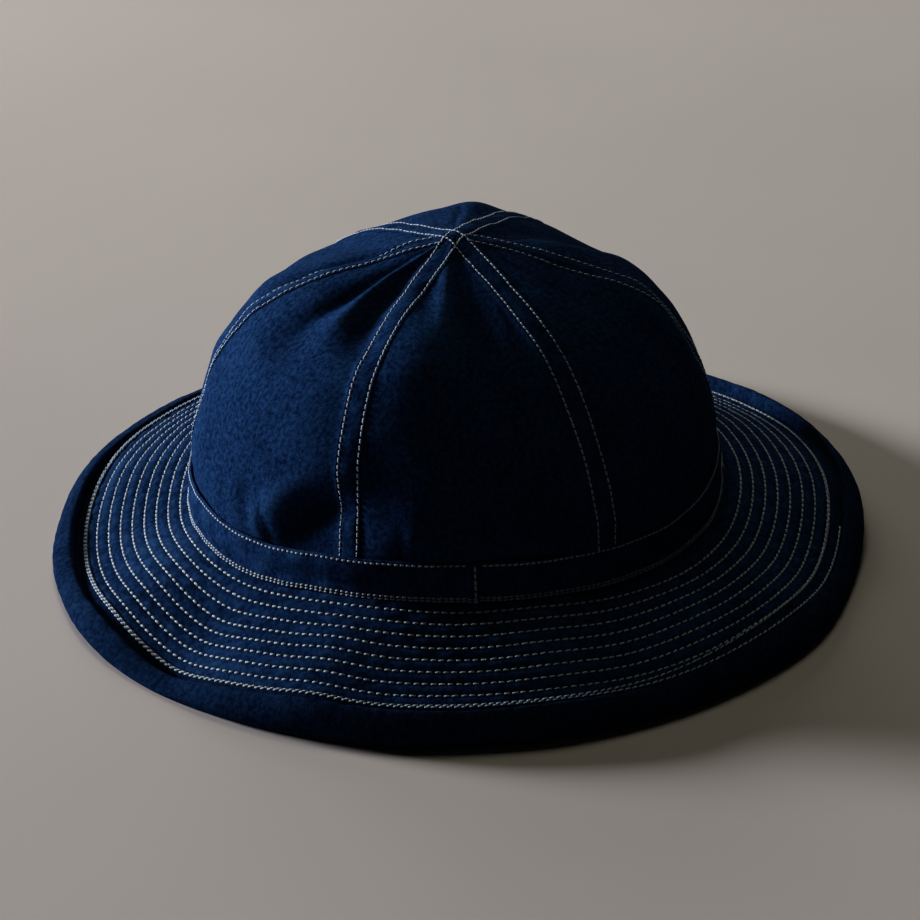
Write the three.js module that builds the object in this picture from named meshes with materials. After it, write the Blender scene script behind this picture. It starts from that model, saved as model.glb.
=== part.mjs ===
// A soft cloth hat lying on its brim: six crown panels, a band, a stitched brim and its bound edge.
// Millimetres, +Z up, the floor at Z = 0. Angles run round the hat in degrees from -Y toward +X.
import * as THREE from 'three';

// Crown
const crownHalfWidth = 93.5; // outer face at the foot, across X
const crownHalfLength = 96.5; // outer face at the foot, along Y
const crownLeanX = 3.3; // how far the top has slipped toward +X
const crownLeanY = 2.1; // and toward +Y
const footBelow = 2; // foot of the crown under the brim's first row
const panelWall = 1.4; // one ply with its turnings
const panelGap = 0.3; // between neighbouring panels
const lapHalfWidth = 4.2; // seam line to the fold of the felled seam
const lapStep = 1.2; // width over which the fold rises
const lapWall = 0.6; // extra cloth inside a felled seam
const lapShare = 0.28; // most of a panel's width that a lap takes, near the top
const lapStepShare = 0.08; // and the rise of its fold
const tipRadius = 0.9; // where the six points meet
const panelColumns = 7; // facets between the two felled seams of a panel
const panelRows = 18;
const foldsFrom = 0.1; // share of the way up where the folds begin, at the band's top edge
const foldsFull = 0.18;
const normalStep = 0.02; // share of the way up over which the crown's slope is taken

// Band
const bandGap = 1.1; // crown's outer face to the band, clear of the felled seams
const bandWall = 1.2;
const bandHeight = 13.3;
const bandLift = 0.4; // lower edge above the brim
const joinAngle = 0.6; // the join faces the front
const joinGap = 0.5;

// Brim
const rowOneOut = 1.5; // first stitched row, outside the crown's face
const rowSpacing = 4.7;
const rowCount = 10;
const brimWall = 2.2; // two plies and their seam allowance
const brimInner = -0.4; // inner edge, from the first row
const brimPast = 1.2; // outer edge, past the last row
const brimRows = 3; // facets across the brim
const sectors = 84;

// Binding
const bindingWall = 1.2;
const bindingGap = 0.3;
const bindingOverlap = 1.4; // legs reach this far inside the last row

// Rise of the crown from its foot to the six points: share of the foot's oval, height
const crownProfile = [
  { share: 1.0, height: 23 },
  { share: 1.0, height: 45 },
  { share: 0.968, height: 62 },
  { share: 0.885, height: 80 },
  { share: 0.745, height: 96 },
  { share: 0.545, height: 105.4 },
  { share: 0.275, height: 111.6 },
  { share: 0.0, height: 116.8 },
];

// How far a panel is flatter than the oval at its middle, as a share, up the crown
const panelFlat = [
  { up: 0, flat: 0.004 },
  { up: 0.35, flat: 0.014 },
  { up: 0.7, flat: 0.035 },
  { up: 1, flat: 0.05 },
];

// Seams of the crown: angle at the foot and the most it strays on the way up
const seams = {
  front_left: { foot: -27.0, stray: -1.8 },
  front_right: { foot: 29.2, stray: -2.1 },
  right: { foot: 95, stray: -16.5 },
  back_right: { foot: 150, stray: 0 },
  back_left: { foot: 210, stray: 0 },
  left: { foot: 264.5, stray: 7 },
};

// Panels between their two seams; a panel that crosses the front counts its first seam back a turn
const panels = [
  { name: 'panel_front', first: 'front_left', second: 'front_right', turnBack: 0 },
  { name: 'panel_front_right', first: 'front_right', second: 'right', turnBack: 0 },
  { name: 'panel_back_right', first: 'right', second: 'back_right', turnBack: 0 },
  { name: 'panel_back', first: 'back_right', second: 'back_left', turnBack: 0 },
  { name: 'panel_back_left', first: 'back_left', second: 'left', turnBack: 0 },
  { name: 'panel_front_left', first: 'left', second: 'front_left', turnBack: 360 },
];

// Dents (deep above 0) and swellings (below 0) of the crown: angle and share of the way up, reach in
// degrees and in share of the way up, slant in degrees for each share
const folds = [
  { angle: -62, up: 0.74, wide: 8, tall: 0.13, slant: 0, deep: 2.6 },
  { angle: -40, up: 0.76, wide: 7, tall: 0.12, slant: 40, deep: 2.1 },
  { angle: -51, up: 0.78, wide: 7, tall: 0.14, slant: 15, deep: -1.6 },
  { angle: -31, up: 0.2, wide: 12, tall: 0.16, slant: -40, deep: 4.8 },
  { angle: -52, up: 0.17, wide: 5, tall: 0.1, slant: 0, deep: 1.4 },
  { angle: -19, up: 0.17, wide: 6, tall: 0.08, slant: 0, deep: -1.6 },
  { angle: -14, up: 0.6, wide: 12, tall: 0.18, slant: 55, deep: -2.0 },
  { angle: 8, up: 0.5, wide: 14, tall: 0.22, slant: 20, deep: 2.2 },
  { angle: 45, up: 0.62, wide: 9, tall: 0.2, slant: 0, deep: -1.8 },
  { angle: 66, up: 0.55, wide: 12, tall: 0.22, slant: 0, deep: 2.4 },
  { angle: 122, up: 0.7, wide: 14, tall: 0.18, slant: 0, deep: 3.6 },
  { angle: 142, up: 0.64, wide: 12, tall: 0.16, slant: 0, deep: 1.6 },
  { angle: 168, up: 0.68, wide: 9, tall: 0.16, slant: 0, deep: -2.4 },
  { angle: -155, up: 0.62, wide: 16, tall: 0.16, slant: 0, deep: 3.8 },
  { angle: -127, up: 0.65, wide: 20, tall: 0.2, slant: 0, deep: 5.2 },
];

// Sections of the brim: height of the first row, fall of the slope in degrees, width of the roll past the
// last row, height of its top, and its underside over the floor (below 0 where it lies pressed flat)
const brimSections = [
  { angle: -180, root: 25.0, slope: 26.0, width: 11.0, crest: 9.6, foot: -1.3 },
  { angle: -150, root: 25.8, slope: 23.0, width: 9.8, crest: 9.8, foot: 0.4 },
  { angle: -120, root: 25.2, slope: 18.8, width: 10.8, crest: 12.4, foot: 1.2 },
  { angle: -90, root: 21.3, slope: 20.9, width: 11.5, crest: 8.8, foot: 0.1 },
  { angle: -70, root: 22.5, slope: 22.0, width: 12.2, crest: 9.2, foot: -0.7 },
  { angle: -50, root: 24.2, slope: 26.6, width: 12.0, crest: 7.8, foot: -0.7 },
  { angle: -30, root: 28.7, slope: 27.0, width: 10.3, crest: 11.6, foot: 0.0 },
  { angle: 0, root: 29.5, slope: 25.2, width: 9.2, crest: 13.4, foot: 1.2 },
  { angle: 30, root: 25.2, slope: 20.7, width: 10.9, crest: 12.2, foot: 0.0 },
  { angle: 50, root: 22.7, slope: 15.4, width: 12.0, crest: 12.4, foot: -1.4 },
  { angle: 70, root: 22.2, slope: 20.4, width: 12.0, crest: 10.8, foot: -0.4 },
  { angle: 90, root: 25.2, slope: 17.0, width: 11.8, crest: 16.6, foot: 1.6 },
  { angle: 120, root: 23.4, slope: 21.2, width: 10.8, crest: 11.8, foot: 0.9 },
  { angle: 150, root: 23.2, slope: 25.6, width: 10.4, crest: 9.2, foot: 0.0 },
];

// Path of the roll past the last row: share of its width, share of its height from foot to crest
const rollShape = [
  { out: 0.34, up: 1.0 },
  { out: 0.74, up: 0.82 },
  { out: 1.0, up: 0.44 },
  { out: 0.87, up: 0.07 },
  { out: 0.6, up: 0.0 },
];
const rollSteps = 10;

const degree = Math.PI / 180;

// Smooth value of one column of a table whose rows go once round the hat
function around(rows, column, angle) {
  const count = rows.length;
  const turn = angle - 360 * Math.floor((angle - rows[0].angle) / 360);
  let at = 0;
  while (at < count - 1 && rows[at + 1].angle <= turn) {
    at += 1;
  }
  const row = (i) => {
    const wraps = Math.floor(i / count);
    const picked = rows[i - wraps * count];
    return { angle: picked.angle + 360 * wraps, value: picked[column] };
  };
  const [a, b, c, d] = [row(at - 1), row(at), row(at + 1), row(at + 2)];
  const step = c.angle - b.angle;
  const s = (turn - b.angle) / step;
  const startSlope = ((c.value - a.value) / (c.angle - a.angle)) * step;
  const endSlope = ((d.value - b.value) / (d.angle - b.angle)) * step;
  const rise = c.value - b.value;
  return b.value + s * startSlope + s * s * (3 * rise - 2 * startSlope - endSlope)
    + s * s * s * (startSlope + endSlope - 2 * rise);
}

// Straight-line value of a table along its "up" column
function along(rows, column, up) {
  let at = 0;
  while (at < rows.length - 2 && rows[at + 1].up < up) {
    at += 1;
  }
  const s = (up - rows[at].up) / (rows[at + 1].up - rows[at].up);
  return THREE.MathUtils.lerp(rows[at][column], rows[at + 1][column], s);
}

// Point on the oval of the crown's foot, moved outward along the oval's own normal
function ovalPoint(angle, outward, height) {
  const sine = Math.sin(angle * degree);
  const cosine = Math.cos(angle * degree);
  const normal = new THREE.Vector2(crownHalfLength * sine, -crownHalfWidth * cosine).normalize();
  return new THREE.Vector3(
    crownHalfWidth * sine + normal.x * outward,
    -crownHalfLength * cosine + normal.y * outward,
    height,
  );
}

// Cloth wall from two sheets of points on one grid, its outer sheet and its inner sheet, closed along its
// rims; a ring joins its last column to its first and has no end rims
function clothWall(columns, rows, closed, place) {
  const across = closed ? columns : columns + 1;
  const sheet = across * (rows + 1);
  const positions = [];
  for (let side = 0; side < 2; side += 1) {
    for (let i = 0; i < across; i += 1) {
      for (let j = 0; j <= rows; j += 1) {
        positions.push(...place(i, j, side === 0).toArray());
      }
    }
  }
  const outer = (i, j) => (i % across) * (rows + 1) + j;
  const inner = (i, j) => sheet + outer(i, j);
  const faces = [];
  const quad = (a, b, c, d) => faces.push(a, b, c, a, c, d);
  for (let i = 0; i < columns; i += 1) {
    for (let j = 0; j < rows; j += 1) {
      quad(outer(i, j), outer(i + 1, j), outer(i + 1, j + 1), outer(i, j + 1));
      quad(inner(i, j), inner(i, j + 1), inner(i + 1, j + 1), inner(i + 1, j));
    }
    quad(outer(i, 0), inner(i, 0), inner(i + 1, 0), outer(i + 1, 0));
    quad(outer(i, rows), outer(i + 1, rows), inner(i + 1, rows), inner(i, rows));
  }
  if (!closed) {
    for (let j = 0; j < rows; j += 1) {
      quad(outer(0, j), outer(0, j + 1), inner(0, j + 1), inner(0, j));
      quad(outer(columns, j), inner(columns, j), inner(columns, j + 1), outer(columns, j + 1));
    }
  }
  const geometry = new THREE.BufferGeometry();
  geometry.setAttribute('position', new THREE.Float32BufferAttribute(positions, 3));
  geometry.setIndex(faces);
  geometry.computeVertexNormals();
  return geometry;
}

const profileCurve = new THREE.SplineCurve(
  crownProfile.map((row) => new THREE.Vector2(row.share, row.height)),
);
const meanRoot = crownProfile[0].height + footBelow;

// Plain crown before its panels flatten and its cloth folds
function crownOval(angle, up, flat) {
  const { x: share, y: height } = profileCurve.getPoint(up);
  const reach = share * (1 - flat);
  const wave = (around(brimSections, 'root', angle) - meanRoot) * (1 - up) ** 2;
  return new THREE.Vector3(
    crownLeanX * up * up + reach * crownHalfWidth * Math.sin(angle * degree),
    crownLeanY * up * up - reach * crownHalfLength * Math.cos(angle * degree),
    height + wave,
  );
}

// Outward direction of the plain crown
function crownNormal(angle, up) {
  const low = Math.max(up - normalStep, 0);
  const high = Math.min(up + normalStep, 1 - normalStep / 2);
  const turn = crownOval(angle + 1, high, 0).sub(crownOval(angle - 1, high, 0));
  turn.add(crownOval(angle + 1, low, 0).sub(crownOval(angle - 1, low, 0)));
  const rise = crownOval(angle, high, 0).sub(crownOval(angle, low, 0));
  return turn.cross(rise).normalize();
}

// Depth of all dents at a place on the crown; the foot stays true under the band
function foldDepth(angle, up) {
  const free = THREE.MathUtils.smoothstep(up, foldsFrom, foldsFull);
  let depth = 0;
  for (const fold of folds) {
    const turn = angle - fold.angle + fold.slant * (up - fold.up);
    const aside = (turn - 360 * Math.round(turn / 360)) / fold.wide;
    const above = (up - fold.up) / fold.tall;
    depth += fold.deep * Math.exp(-aside * aside - above * above);
  }
  return depth * free;
}

// One panel: columns stand close at its felled seams and even between them
function panelGeometry({ first, second, turnBack }) {
  const columns = panelColumns + 4;
  const lastSlope = crownProfile.at(-2).share * (crownProfile.length - 1) / 2; // the curve's slope at its end
  const topUp = 1 - tipRadius / (crownHalfWidth * lastSlope);
  return clothWall(columns, panelRows, false, (i, j, isOuter) => {
    const up = topUp * (j / panelRows);
    const bow = Math.sin(Math.PI * up * up);
    const from = seams[first].foot + seams[first].stray * bow - turnBack;
    const to = seams[second].foot + seams[second].stray * bow;
    const radius = profileCurve.getPoint(up).x * crownHalfWidth;
    const width = (to - from) * degree * radius;
    const lap = Math.min(lapHalfWidth, lapShare * width);
    const step = Math.min(lapStep, lapStepShare * width);
    const marks = [panelGap / 2, lap, lap + step];
    const side = Math.min(i, columns - i);
    let aside;
    if (side < 2) {
      aside = i < columns / 2 ? marks[side] : width - marks[side];
    } else {
      aside = THREE.MathUtils.lerp(marks[2], width - marks[2], (i - 2) / (columns - 4));
    }
    const angle = THREE.MathUtils.lerp(from, to, aside / width);
    const flat = along(panelFlat, 'flat', up) * Math.sin(Math.PI * (aside / width));
    const raised = side < 2 ? lapWall : 0;
    const depth = isOuter ? raised : -panelWall;
    const normal = crownNormal(angle, up);
    return crownOval(angle, up, flat).addScaledVector(normal, depth - foldDepth(angle, up));
  });
}

// Slope of the brim at one angle: rise of its upper face at a distance out from the first row
function brimSlope(angle) {
  const root = around(brimSections, 'root', angle);
  const slope = around(brimSections, 'slope', angle) * degree;
  const lastOut = (rowCount - 1) * rowSpacing * Math.cos(slope);
  const upper = (out) => root - out * Math.tan(slope);
  const lower = (out) => upper(out) - brimWall / Math.cos(slope);
  return { root, lastOut, upper, lower };
}

function brimGeometry() {
  return clothWall(sectors, brimRows, true, (i, j, isOuter) => {
    const angle = (360 * i) / sectors;
    const { lastOut, upper, lower } = brimSlope(angle);
    const out = THREE.MathUtils.lerp(lastOut + brimPast, brimInner, j / brimRows);
    const height = isOuter ? upper(out) : lower(out);
    return ovalPoint(angle, rowOneOut + out, height);
  });
}

// Band: an upright strip from one end of its join round to the other
function bandGeometry() {
  const half = joinGap / 2 / crownHalfWidth / degree;
  return clothWall(sectors, 1, false, (i, j, isOuter) => {
    const angle = THREE.MathUtils.lerp(joinAngle + half, joinAngle + 360 - half, i / sectors);
    const { root } = brimSlope(angle);
    const outward = isOuter ? bandGap + bandWall : bandGap;
    return ovalPoint(angle, outward, root + bandLift + bandHeight * j);
  });
}

// Section of the binding at one angle: from its upper leg over the roll and back along its lower leg
function bindingPath(angle) {
  const { lastOut, upper, lower } = brimSlope(angle);
  const crest = around(brimSections, 'crest', angle);
  const foot = around(brimSections, 'foot', angle);
  const width = around(brimSections, 'width', angle);
  const stand = bindingGap + bindingWall;
  const start = lastOut - bindingOverlap;
  const pinch = lastOut + brimPast;
  const roll = new THREE.SplineCurve([
    new THREE.Vector2(pinch, upper(pinch) + stand),
    ...rollShape.map((row) => new THREE.Vector2(
      lastOut + row.out * width,
      THREE.MathUtils.lerp(foot, crest, row.up),
    )),
    new THREE.Vector2(pinch, Math.max(lower(pinch) - stand, 0)),
  ]);
  const path = [
    new THREE.Vector2(start, upper(start) + stand),
    ...roll.getPoints(rollSteps),
    new THREE.Vector2(start, Math.max(lower(start) - stand, 0)),
  ];
  path.forEach((point) => {
    point.y = Math.max(point.y, 0);
  });
  return path;
}

function bindingGeometry() {
  const paths = [];
  for (let i = 0; i < sectors; i += 1) {
    paths.push(bindingPath((360 * i) / sectors));
  }
  const steps = rollSteps + 2;
  return clothWall(sectors, steps, true, (i, j, isOuter) => {
    const path = paths[i];
    const step = steps - j;
    const point = path[step].clone();
    if (!isOuter) {
      const ahead = path[Math.min(step + 1, steps)];
      const behind = path[Math.max(step - 1, 0)];
      const run = ahead.clone().sub(behind).normalize();
      point.x += bindingWall * run.y;
      point.y -= bindingWall * run.x;
    }
    return ovalPoint((360 * i) / sectors, rowOneOut + point.x, point.y);
  });
}

// Indigo cloth, a little lighter on the crown than on the doubled brim
const clothColours = { crown: 0x1f2b45, band: 0x1c2740, brim: 0x1b263e, binding: 0x1d2841 };

function cloth(colour) {
  return new THREE.MeshStandardMaterial({ color: colour, roughness: 0.92, metalness: 0 });
}

const hat = new THREE.Group();

function addPiece(name, geometry, colour) {
  const piece = new THREE.Mesh(geometry, cloth(colour));
  piece.name = name;
  hat.add(piece);
}

for (const panel of panels) {
  addPiece(panel.name, panelGeometry(panel), clothColours.crown);
}
addPiece('hat_band', bandGeometry(), clothColours.band);
addPiece('brim', brimGeometry(), clothColours.brim);
addPiece('brim_binding', bindingGeometry(), clothColours.binding);

export default hat;
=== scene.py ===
import bpy
import numpy as np
from mathutils import Matrix


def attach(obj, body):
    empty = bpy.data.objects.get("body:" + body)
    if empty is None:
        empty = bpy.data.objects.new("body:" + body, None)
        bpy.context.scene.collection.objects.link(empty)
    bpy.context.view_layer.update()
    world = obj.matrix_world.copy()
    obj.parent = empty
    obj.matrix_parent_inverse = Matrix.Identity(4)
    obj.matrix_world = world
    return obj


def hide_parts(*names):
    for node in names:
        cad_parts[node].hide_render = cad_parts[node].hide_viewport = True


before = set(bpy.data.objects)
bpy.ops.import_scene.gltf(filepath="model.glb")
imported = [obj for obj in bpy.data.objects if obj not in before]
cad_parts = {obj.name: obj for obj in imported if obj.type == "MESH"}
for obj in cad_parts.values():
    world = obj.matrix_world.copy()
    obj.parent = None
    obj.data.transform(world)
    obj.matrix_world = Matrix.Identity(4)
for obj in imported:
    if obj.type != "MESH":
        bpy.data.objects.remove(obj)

scene = bpy.context.scene
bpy.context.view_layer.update()  # updates the scene after the pieces are moved
mm = 0.001  # shapes are worked out in millimetres and stored in metres
print("frame loaded with", len(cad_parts), "pieces")

# angles run round the hat in degrees from the front (-Y) toward +X, the floor is at Z = 0
hat = dict(halfWidth=93.5, halfLength=96.5)  # oval of the crown's foot, outer face


# smooth step from 0 at low to 1 at high
def easeStep(low, high, x):
    s = np.clip((x - low) / (high - low), 0, 1)
    return s * s * (3 - 2 * s)


# 1 within a span, eased in over its first two values and out over its last two
def between(span, x):
    return easeStep(span[0], span[1], x) * (1 - easeStep(span[2], span[3], x))


# bell of height 1 at x = 0 that falls away over the given reach
def bell(x, reach):
    return np.exp(-((x / reach) ** 2))


# angle brought between -180 and 180
def nearTurn(angle):
    return (angle + 180) % 360 - 180


# vectors divided by their length
def unit(v):
    return v / np.maximum(np.linalg.norm(v, axis=-1, keepdims=True), 1e-9)


# even noise of about unit size at points in space: a sum of plane waves in scattered directions, their
# lengths scattered round the given one
def clothWave(seed, points, length, waves=9):
    rng = np.random.default_rng(seed)
    ways = unit(rng.normal(size=(waves, 3))) / rng.uniform(0.75, 1.5, (waves, 1))
    phase = rng.uniform(0, 2 * np.pi, waves)
    return np.sin(2 * np.pi / length * (points @ ways.T) + phase).sum(-1) * np.sqrt(2 / waves)


# Catmull-Rom curve through points (..., n, d) at shares of its rows
def curveThrough(points, share):
    points = np.asarray(points, float)
    last = points.shape[-2] - 1
    where = np.clip(np.asarray(share, float), 0, 1) * last
    i = np.minimum(where.astype(int), last - 1)
    s = (where - i)[..., None]
    p0, p1 = points[..., np.maximum(i - 1, 0), :], points[..., i, :]
    p2, p3 = points[..., i + 1, :], points[..., np.minimum(i + 2, last), :]
    v0, v1 = (p2 - p0) / 2, (p3 - p1) / 2
    return (2 * p1 - 2 * p2 + v0 + v1) * s**3 + (3 * p2 - 3 * p1 - 2 * v0 - v1) * s**2 + v0 * s + p1


# outward normal of the oval at the crown's foot
def ovalNormal(angle):
    turn = np.radians(angle)
    x, y = hat["halfLength"] * np.sin(turn), -hat["halfWidth"] * np.cos(turn)
    return unit(np.stack([x, y, 0 * turn], -1))


# point of that oval moved outward along its normal, at a height
def ovalPoint(angle, outward, height):
    turn = np.radians(angle)
    base = np.stack([hat["halfWidth"] * np.sin(turn), -hat["halfLength"] * np.cos(turn), 0 * turn], -1)
    place = base + ovalNormal(angle) * np.asarray(outward)[..., None]
    place[..., 2] = height
    return place


# quads of a cloth wall: an outer sheet of nI by nJ points and an inner one that keeps only the picked rows,
# closed along its rims; a ring joins its last column to its first. Returns the corners' numbers, and the
# column and outer row that each corner takes its UV from
def wallQuads(nI, nJ, pick, ring):
    cells = nI if ring else nI - 1
    last, lastIn = nJ - 1, len(pick) - 1
    place = lambda side, column, row: np.stack(np.broadcast_arrays(side, column, row), -1).reshape(-1, 3)
    i, j, k, e = np.arange(cells)[:, None], np.arange(last), np.arange(lastIn), np.arange(cells)
    parts = [[place(0, i, j), place(0, i + 1, j), place(0, i + 1, j + 1), place(0, i, j + 1)],
             [place(1, i, k), place(1, i, k + 1), place(1, i + 1, k + 1), place(1, i + 1, k)],
             [place(0, e, 0), place(1, e, 0), place(1, e + 1, 0), place(0, e + 1, 0)],
             [place(0, e, last), place(0, e + 1, last), place(1, e + 1, lastIn), place(1, e, lastIn)]]
    if not ring:
        end = nI - 1
        parts.append([place(0, 0, j), place(0, 0, j + 1), place(1, 0, j + 1), place(1, 0, j)])
        parts.append([place(0, end, j), place(1, end, j), place(1, end, j + 1), place(0, end, j + 1)])
    side, column, row = np.moveaxis(np.concatenate([np.stack(part, 1) for part in parts]), -1, 0)
    onOuter = (column % nI) * nJ + row
    onInner = nI * nJ + (column % nI) * len(pick) + row
    corners = np.where(side == 0, onOuter, onInner)
    return corners, column, np.where(side == 0, row, pick[np.minimum(row, lastIn)])


# mesh from points in millimetres and quads, a UV for each corner, and a value of wear, dirt and painted
# shade for each point
def makeMesh(name, points, quads, uv, wearDirtAndShade, material):
    mesh = bpy.data.meshes.new(name)
    mesh.vertices.add(len(points))
    mesh.vertices.foreach_set("co", (points * mm).astype(np.float32).ravel())
    mesh.loops.add(quads.size)
    mesh.loops.foreach_set("vertex_index", quads.astype(np.int32).ravel())
    mesh.polygons.add(len(quads))
    mesh.polygons.foreach_set("loop_start", np.arange(0, quads.size, 4, dtype=np.int32))
    mesh.polygons.foreach_set("use_smooth", np.ones(len(quads), bool))
    mesh.uv_layers.new(name="cloth").data.foreach_set("uv", uv.astype(np.float32).ravel())
    marks = mesh.attributes.new("wearDirtAndShade", "FLOAT", "POINT")
    marks.data.foreach_set("value", wearDirtAndShade.astype(np.float32).ravel())
    mesh.update(calc_edges=True)
    mesh.validate()
    mesh.materials.append(material)
    piece = bpy.data.objects.new(name, mesh)
    scene.collection.objects.link(piece)
    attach(piece, "root")
    return piece


# cloth wall that stands for a solid, from its two sheets (nI, nJ, 3); a ring's inner sheet may keep fewer
# rows, and its UV grid has one column more
def clothPiece(node, outer, inner, uvGrid, wearDirtAndShade, material, innerRows=None):
    nI, nJ = outer.shape[:2]
    ring = uvGrid.shape[0] > nI
    pick = np.linspace(0, nJ - 1, innerRows or nJ).round().astype(int)
    quads, columns, rows = wallQuads(nI, nJ, pick, ring)
    inner = inner[:, pick]
    points = np.concatenate([outer.reshape(-1, 3), inner.reshape(-1, 3)])
    marks = np.concatenate([wearDirtAndShade.ravel(), np.zeros(nI * len(pick))])
    piece = makeMesh(node + "_cloth", points, quads, uvGrid[columns, rows], marks, material)
    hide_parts(node)
    print(piece.name, "built with", len(quads) * 2, "triangles")


# Materials

# colours are linear; the UV maps are in units of 100 mm and so is the twill's spacing
denim = dict(deep=(0.0021, 0.0135, 0.049), mid=(0.0180, 0.0560, 0.142), weft=(0.060, 0.110, 0.21),
             marks=(0.031, 0.082, 0.185), twill=0.008, furrows=0.3, roughness=0.95, gloss=0.02,
             bump=0.5, bumpDepth=0.0004)
denim.update(  # noises of the cloth: scale across and along, detail, roughness
    slub=(75, 9, 4, 0.6), cloud=(5, 4, 3, 0.55), grain=(58, 52, 4, 0.74), speck=(230, 160, 2, 0.5))
cotton = dict(shaded=(0.25, 0.31, 0.38), lit=(0.53, 0.59, 0.67), soiled=(0.20, 0.27, 0.37), roughness=0.75,
              gloss=0.3, twistTurn=38, twist=0.35, bump=0.6, bumpDepth=0.0001)


# node with its settings and input values in one call
def addNode(tree, kind, settings=(), values=()):
    made = tree.nodes.new(kind)
    for key, value in dict(settings).items():
        setattr(made, key, value)
    for key, value in dict(values).items():
        made.inputs[key].default_value = value
    return made


# puts a socket, a colour or a number into an input
def feed(tree, value, socket):
    if isinstance(value, bpy.types.NodeSocket):
        tree.links.new(value, socket)
    else:
        socket.default_value = (*value, 1) if isinstance(value, tuple) else value


# a mix of two colours by a factor
def mixColour(tree, factor, first, second):
    mix = addNode(tree, "ShaderNodeMix", dict(data_type="RGBA"))
    for value, place in ((factor, 0), (first, 6), (second, 7)):
        feed(tree, value, mix.inputs[place])
    return mix.outputs[2]


# one arithmetic step on sockets or numbers
def reckon(tree, operation, *values):
    step = addNode(tree, "ShaderNodeMath", dict(operation=operation))
    for value, socket in zip(values, step.inputs):
        feed(tree, value, socket)
    return step.outputs[0]


# bump node with its strength and depth from a finish's dictionary
def finishBump(tree, finish, height, shader):
    values = dict(Strength=finish["bump"], Distance=finish["bumpDepth"])
    bump = addNode(tree, "ShaderNodeBump", values=values)
    tree.links.new(height, bump.inputs["Height"])
    tree.links.new(bump.outputs[0], shader.inputs["Normal"])


# noise on the cloth's own UV, stretched by a scale across and along
def clothNoise(tree, uv, across, along, detail, rough):
    place = addNode(tree, "ShaderNodeMapping", values=dict(Scale=(across, along, 1)))
    noise = addNode(tree, "ShaderNodeTexNoise", values=dict(Scale=1, Detail=detail, Roughness=rough))
    tree.links.new(uv, place.inputs["Vector"])
    tree.links.new(place.outputs[0], noise.inputs["Vector"])
    return noise.outputs[0]


# straight-line map of a socket from one range to another, clamped
def spread(tree, value, low, high, toLow=0.0, toHigh=1.0):
    ranged = addNode(tree, "ShaderNodeMapRange", values={
        "From Min": low, "From Max": high, "To Min": toLow, "To Max": toHigh})
    tree.links.new(value, ranged.inputs["Value"])
    return ranged.outputs[0]


# parallel lines on the UV, turned by an angle, with a spacing in UV units
def turnedLines(tree, uv, turn, spacing, distortion):
    place = addNode(tree, "ShaderNodeMapping", values=dict(Rotation=(0, 0, np.radians(turn))))
    lines = addNode(tree, "ShaderNodeTexWave", dict(wave_type="BANDS", bands_direction="X"), {
        "Scale": 2 * np.pi / 20 / spacing, "Distortion": distortion, "Detail": 2, "Detail Scale": 6})
    tree.links.new(uv, place.inputs["Vector"])
    tree.links.new(place.outputs[0], lines.inputs["Vector"])
    return lines.outputs["Fac"]


# indigo twill: dark warp in streaks and clouds, pale weft in the furrows of the twill lines, rubbed paler by
# wear where the attribute is above 0 and darkened with painted shade where it is below; twill and grain also
# make the bump
def denimCloth(name, shade, twillTurn):
    material = bpy.data.materials.new(name)
    material.use_nodes = True
    tree = material.node_tree
    cloth = tree.nodes["Principled BSDF"]
    cloth.inputs["Roughness"].default_value = denim["roughness"]
    cloth.inputs["Specular IOR Level"].default_value = denim["gloss"]
    uv = addNode(tree, "ShaderNodeTexCoord").outputs["UV"]
    deep, mid, weft, rubbed = (
        tuple(shade * c for c in denim[key]) for key in ("deep", "mid", "weft", "marks"))
    twill = turnedLines(tree, uv, twillTurn, denim["twill"], 1.6)
    slub, cloud, grain, speck = (
        clothNoise(tree, uv, *denim[key]) for key in ("slub", "cloud", "grain", "speck"))
    streaks = spread(tree, slub, 0.3, 0.72, 0, 0.4)
    clouds = spread(tree, cloud, 0.3, 0.7, 0, 0.3)
    mottle = spread(tree, grain, 0.38, 0.64, -0.3, 0.7)
    warp = reckon(tree, "ADD", reckon(tree, "ADD", streaks, clouds), mottle)
    dyed = mixColour(tree, warp, deep, mid)
    furrow = reckon(tree, "MULTIPLY", spread(tree, twill, 0.62, 1.0), spread(tree, speck, 0.42, 0.72))
    woven = mixColour(tree, reckon(tree, "MULTIPLY", furrow, denim["furrows"]), dyed, weft)
    wearDirtAndShade = addNode(tree, "ShaderNodeAttribute", dict(attribute_name="wearDirtAndShade")).outputs["Fac"]
    patchy = spread(tree, grain, 0.3, 0.7, 0.35, 1)
    rubbing = reckon(tree, "MULTIPLY", spread(tree, wearDirtAndShade, 0.05, 1, 0, 0.7), patchy)
    faded = mixColour(tree, rubbing, woven, rubbed)
    # painted shade: below 0 the colour is mixed toward half the deep dye, darker than the cloth anywhere
    withPaintedShade = mixColour(tree, spread(tree, wearDirtAndShade, -1, 0, 0.5, 0), faded, tuple(0.5 * c for c in deep))
    tree.links.new(withPaintedShade, cloth.inputs["Base Color"])
    height = reckon(tree, "ADD", reckon(tree, "MULTIPLY", twill, 0.15), grain)
    finishBump(tree, denim, height, cloth)
    return material


# off-white sewing thread: a fine twist round each stitch from its UV, soiled by its dirt value
def sewingThread(name):
    material = bpy.data.materials.new(name)
    material.use_nodes = True
    tree = material.node_tree
    strand = tree.nodes["Principled BSDF"]
    strand.inputs["Roughness"].default_value = cotton["roughness"]
    strand.inputs["Specular IOR Level"].default_value = cotton["gloss"]
    uv = addNode(tree, "ShaderNodeTexCoord").outputs["UV"]
    twist = turnedLines(tree, uv, cotton["twistTurn"], cotton["twist"], 0.4)
    soil = addNode(tree, "ShaderNodeAttribute", dict(attribute_name="wearDirtAndShade")).outputs["Fac"]
    ply = mixColour(tree, twist, cotton["shaded"], cotton["lit"])
    tree.links.new(mixColour(tree, soil, ply, cotton["soiled"]), strand.inputs["Base Color"])
    finishBump(tree, cotton, twist, strand)
    return material


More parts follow.
